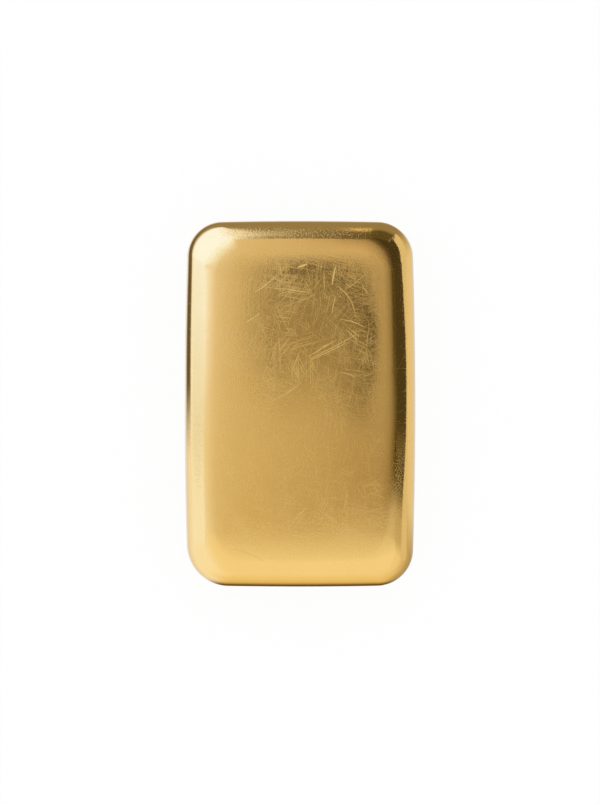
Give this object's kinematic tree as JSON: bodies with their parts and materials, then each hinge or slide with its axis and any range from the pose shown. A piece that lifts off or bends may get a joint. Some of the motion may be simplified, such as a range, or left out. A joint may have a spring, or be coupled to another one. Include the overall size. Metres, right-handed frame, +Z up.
{
  "type": "metal ingot",
  "caption": "Cast gold bar with rounded corners, a broad round upper edge, drafted walls and a flat underside, lying flat as bullion stock.",
  "frame": {"origin": "centre of the flat underside that the bar lies on", "axes": "+Y along the bar's length, +X along its width, +Z up through the mould face"},
  "size_m": [0.0314, 0.05, 0.0089],
  "materials": {
    "gold": "satin"
  },
  "bodies": {
    "root": {"ingot": "gold"}
  },
  "joints": []
}
